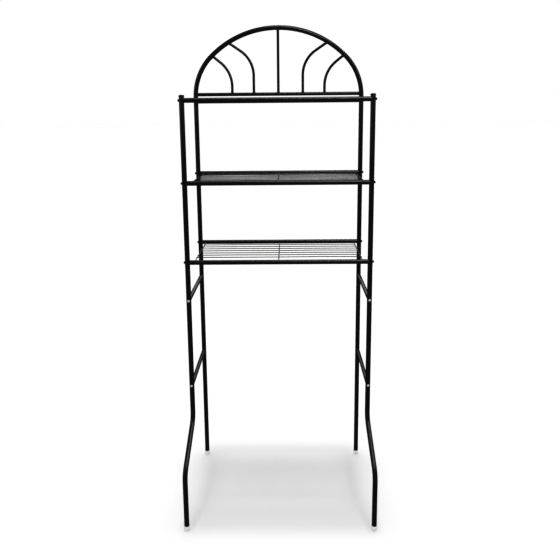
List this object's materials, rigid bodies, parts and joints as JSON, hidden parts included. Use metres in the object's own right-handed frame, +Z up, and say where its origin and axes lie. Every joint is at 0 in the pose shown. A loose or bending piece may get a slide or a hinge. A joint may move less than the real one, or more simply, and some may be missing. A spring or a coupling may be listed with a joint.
{
  "type": "over the toilet storage rack",
  "caption": "Free-standing tube rack that straddles a toilet, with wire shelves, side braces, stepped front legs and a sunburst arch on top.",
  "frame": {"origin": "on the floor, at the middle of the rack's bounding box", "axes": "+Z up, -Y towards the front, +X to the right of someone facing the front"},
  "size_m": [0.6296, 0.4855, 1.6345],
  "materials": {
    "tube_paint": "satin black powder coat",
    "wire_paint": "semi-gloss black paint",
    "bolt_black": "black oxide",
    "screw_zinc": "bright zinc plate",
    "cap_plastic": "satin moulded",
    "foot_plastic": "pale milky moulded"
  },
  "bodies": {
    "root": {"arch_crossbar": "tube_paint", "arch_tube": "tube_paint", "brace_lower_left": "tube_paint", "brace_lower_right": "tube_paint", "brace_screw_lower_front_left": "screw_zinc", "brace_screw_lower_front_right": "screw_zinc", "brace_screw_lower_rear_left": "screw_zinc", "brace_screw_lower_rear_right": "screw_zinc", "brace_screw_upper_front_left": "screw_zinc", "brace_screw_upper_front_right": "screw_zinc", "brace_screw_upper_rear_left": "screw_zinc", "brace_screw_upper_rear_right": "screw_zinc", "brace_upper_left": "tube_paint", "brace_upper_right": "tube_paint", "foot_cap_front_left": "foot_plastic", "foot_cap_front_right": "foot_plastic", "foot_cap_rear_left": "foot_plastic", "foot_cap_rear_right": "foot_plastic", "lower_leg_front_left": "tube_paint", "lower_leg_front_right": "tube_paint", "lower_leg_rear_left": "tube_paint", "lower_leg_rear_right": "tube_paint", "post_cap_left": "cap_plastic", "post_cap_right": "cap_plastic", "shelf_bolt_low_front_left": "bolt_black", "shelf_bolt_low_front_right": "bolt_black", "shelf_bolt_low_rear_left": "bolt_black", "shelf_bolt_low_rear_right": "bolt_black", "shelf_bolt_middle_front_left": "bolt_black", "shelf_bolt_middle_front_right": "bolt_black", "shelf_bolt_middle_rear_left": "bolt_black", "shelf_bolt_middle_rear_right": "bolt_black", "shelf_bolt_top_front_left": "bolt_black", "shelf_bolt_top_front_right": "bolt_black", "shelf_bolt_top_rear_left": "bolt_black", "shelf_bolt_top_rear_right": "bolt_black", "shelf_low_front_tube": "tube_paint", "shelf_low_rear_tube": "tube_paint", "shelf_low_wires": "wire_paint", "shelf_middle_front_tube": "tube_paint", "shelf_middle_rear_tube": "tube_paint", "shelf_middle_wires": "wire_paint", "shelf_top_front_tube": "tube_paint", "shelf_top_rear_tube": "tube_paint", "shelf_top_wires": "wire_paint", "spoke_center": "tube_paint", "spoke_inner_left": "tube_paint", "spoke_inner_right": "tube_paint", "spoke_outer_left": "tube_paint", "spoke_outer_right": "tube_paint", "upper_post_front_left": "tube_paint", "upper_post_front_right": "tube_paint", "upper_post_rear_left": "tube_paint", "upper_post_rear_right": "tube_paint"}
  },
  "joints": []
}
